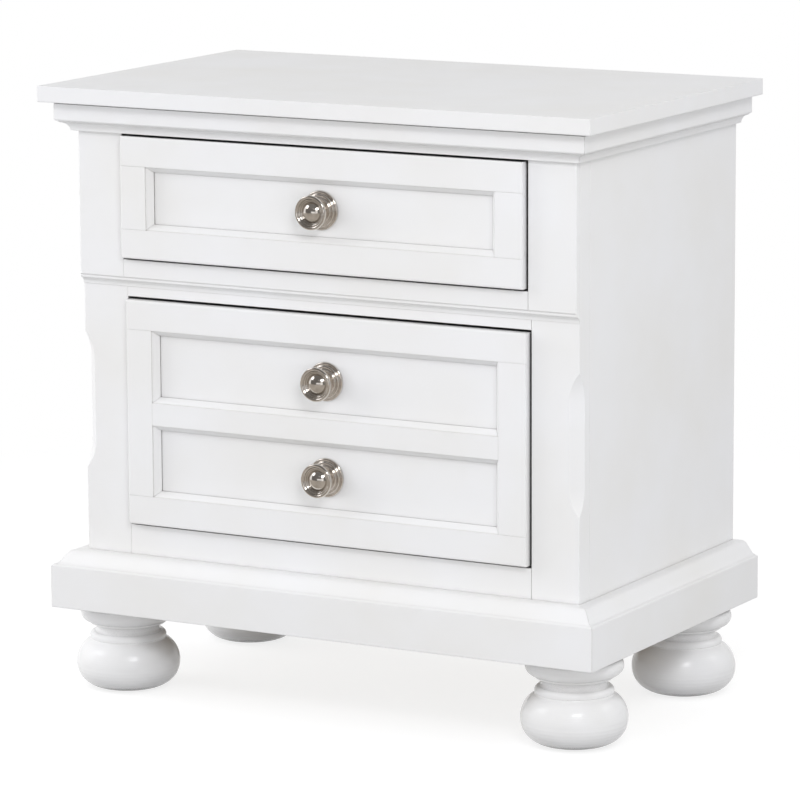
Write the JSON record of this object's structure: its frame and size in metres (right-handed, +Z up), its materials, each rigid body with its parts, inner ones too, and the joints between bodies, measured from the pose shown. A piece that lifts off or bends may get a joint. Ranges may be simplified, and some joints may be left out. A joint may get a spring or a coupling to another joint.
{
  "type": "nightstand with drawers",
  "caption": "White painted nightstand with a moulded top, panelled drawer fronts that pull out on slides, scooped corner posts and turned bun feet.",
  "frame": {"origin": "on the floor, under the centre of the box around the whole object", "axes": "+X to the right along the front, +Y from the front to the back, +Z up; the drawers open along -Y"},
  "size_m": [0.7198, 0.4462, 0.724],
  "materials": {
    "case_paint": "white paint, satin",
    "top_paint": "white paint, satin",
    "foot_paint": "white paint, satin, on turned wood",
    "bare_wood": "clear lacquer on light hardwood",
    "plywood": "clear lacquer on plywood",
    "zinc_steel": "bright zinc plating",
    "knob_nickel": "satin nickel"
  },
  "bodies": {
    "case": {"top_panel": "top_paint", "crown_front": "case_paint", "crown_left": "case_paint", "crown_right": "case_paint", "left_post": "case_paint", "right_post": "case_paint", "left_post_facing": "case_paint", "right_post_facing": "case_paint", "top_rail": "case_paint", "middle_rail": "case_paint", "bottom_rail": "case_paint", "left_side_panel": "case_paint", "right_side_panel": "case_paint", "back_panel": "case_paint", "back_top_rail": "bare_wood", "bottom_panel": "plywood", "slide_battens": "bare_wood", "base_front": "case_paint", "base_left": "case_paint", "base_right": "case_paint", "base_back": "bare_wood", "corner_blocks": "bare_wood", "front_left_foot": "foot_paint", "front_right_foot": "foot_paint", "back_left_foot": "foot_paint", "back_right_foot": "foot_paint", "upper_cabinet_slides": "zinc_steel", "lower_cabinet_slides": "zinc_steel"},
    "upper_drawer": {"upper_drawer_slides": "zinc_steel", "upper_front_top_rail": "case_paint", "upper_front_bottom_rail": "case_paint", "upper_front_left_stile": "case_paint", "upper_front_right_stile": "case_paint", "upper_front_panel": "case_paint", "upper_box_front": "bare_wood", "upper_box_left": "bare_wood", "upper_box_right": "bare_wood", "upper_box_back": "bare_wood", "upper_box_bottom": "plywood", "upper_knob": "knob_nickel"},
    "lower_drawer": {"lower_drawer_slides": "zinc_steel", "lower_front_top_rail": "case_paint", "lower_front_middle_rail": "case_paint", "lower_front_bottom_rail": "case_paint", "lower_front_left_stile": "case_paint", "lower_front_right_stile": "case_paint", "lower_front_panels": "case_paint", "lower_box_front": "bare_wood", "lower_box_left": "bare_wood", "lower_box_right": "bare_wood", "lower_box_back": "bare_wood", "lower_box_bottom": "plywood", "lower_knobs": "knob_nickel"},
    "upper_slide_middles": {"upper_middle_slides": "zinc_steel"},
    "upper_outer_ball_cages": {"upper_outer_cages": "zinc_steel"},
    "upper_inner_ball_cages": {"upper_inner_cages": "zinc_steel"},
    "lower_slide_middles": {"lower_middle_slides": "zinc_steel"},
    "lower_outer_ball_cages": {"lower_outer_cages": "zinc_steel"},
    "lower_inner_ball_cages": {"lower_inner_cages": "zinc_steel"}
  },
  "joints": [
    {"name": "upper_drawer_slide", "type": "slide", "parent": "case", "child": "upper_drawer", "axis": [0, -1, 0], "range_m": [0, 0.33]},
    {"name": "upper_middle_slide", "type": "slide", "parent": "case", "child": "upper_slide_middles", "axis": [0, -1, 0], "range_m": [0, 0.165]},
    {"name": "upper_outer_cage_slide", "type": "slide", "parent": "case", "child": "upper_outer_ball_cages", "axis": [0, -1, 0], "range_m": [0, 0.0825]},
    {"name": "upper_inner_cage_slide", "type": "slide", "parent": "case", "child": "upper_inner_ball_cages", "axis": [0, -1, 0], "range_m": [0, 0.2475]},
    {"name": "lower_drawer_slide", "type": "slide", "parent": "case", "child": "lower_drawer", "axis": [0, -1, 0], "range_m": [0, 0.33]},
    {"name": "lower_middle_slide", "type": "slide", "parent": "case", "child": "lower_slide_middles", "axis": [0, -1, 0], "range_m": [0, 0.165]},
    {"name": "lower_outer_cage_slide", "type": "slide", "parent": "case", "child": "lower_outer_ball_cages", "axis": [0, -1, 0], "range_m": [0, 0.0825]},
    {"name": "lower_inner_cage_slide", "type": "slide", "parent": "case", "child": "lower_inner_ball_cages", "axis": [0, -1, 0], "range_m": [0, 0.2475]}
  ],
  "couplings": [
    {"joint": "upper_middle_slide", "follows": "upper_drawer_slide", "ratio": 0.5},
    {"joint": "upper_outer_cage_slide", "follows": "upper_drawer_slide", "ratio": 0.25},
    {"joint": "upper_inner_cage_slide", "follows": "upper_drawer_slide", "ratio": 0.75},
    {"joint": "lower_middle_slide", "follows": "lower_drawer_slide", "ratio": 0.5},
    {"joint": "lower_outer_cage_slide", "follows": "lower_drawer_slide", "ratio": 0.25},
    {"joint": "lower_inner_cage_slide", "follows": "lower_drawer_slide", "ratio": 0.75}
  ]
}
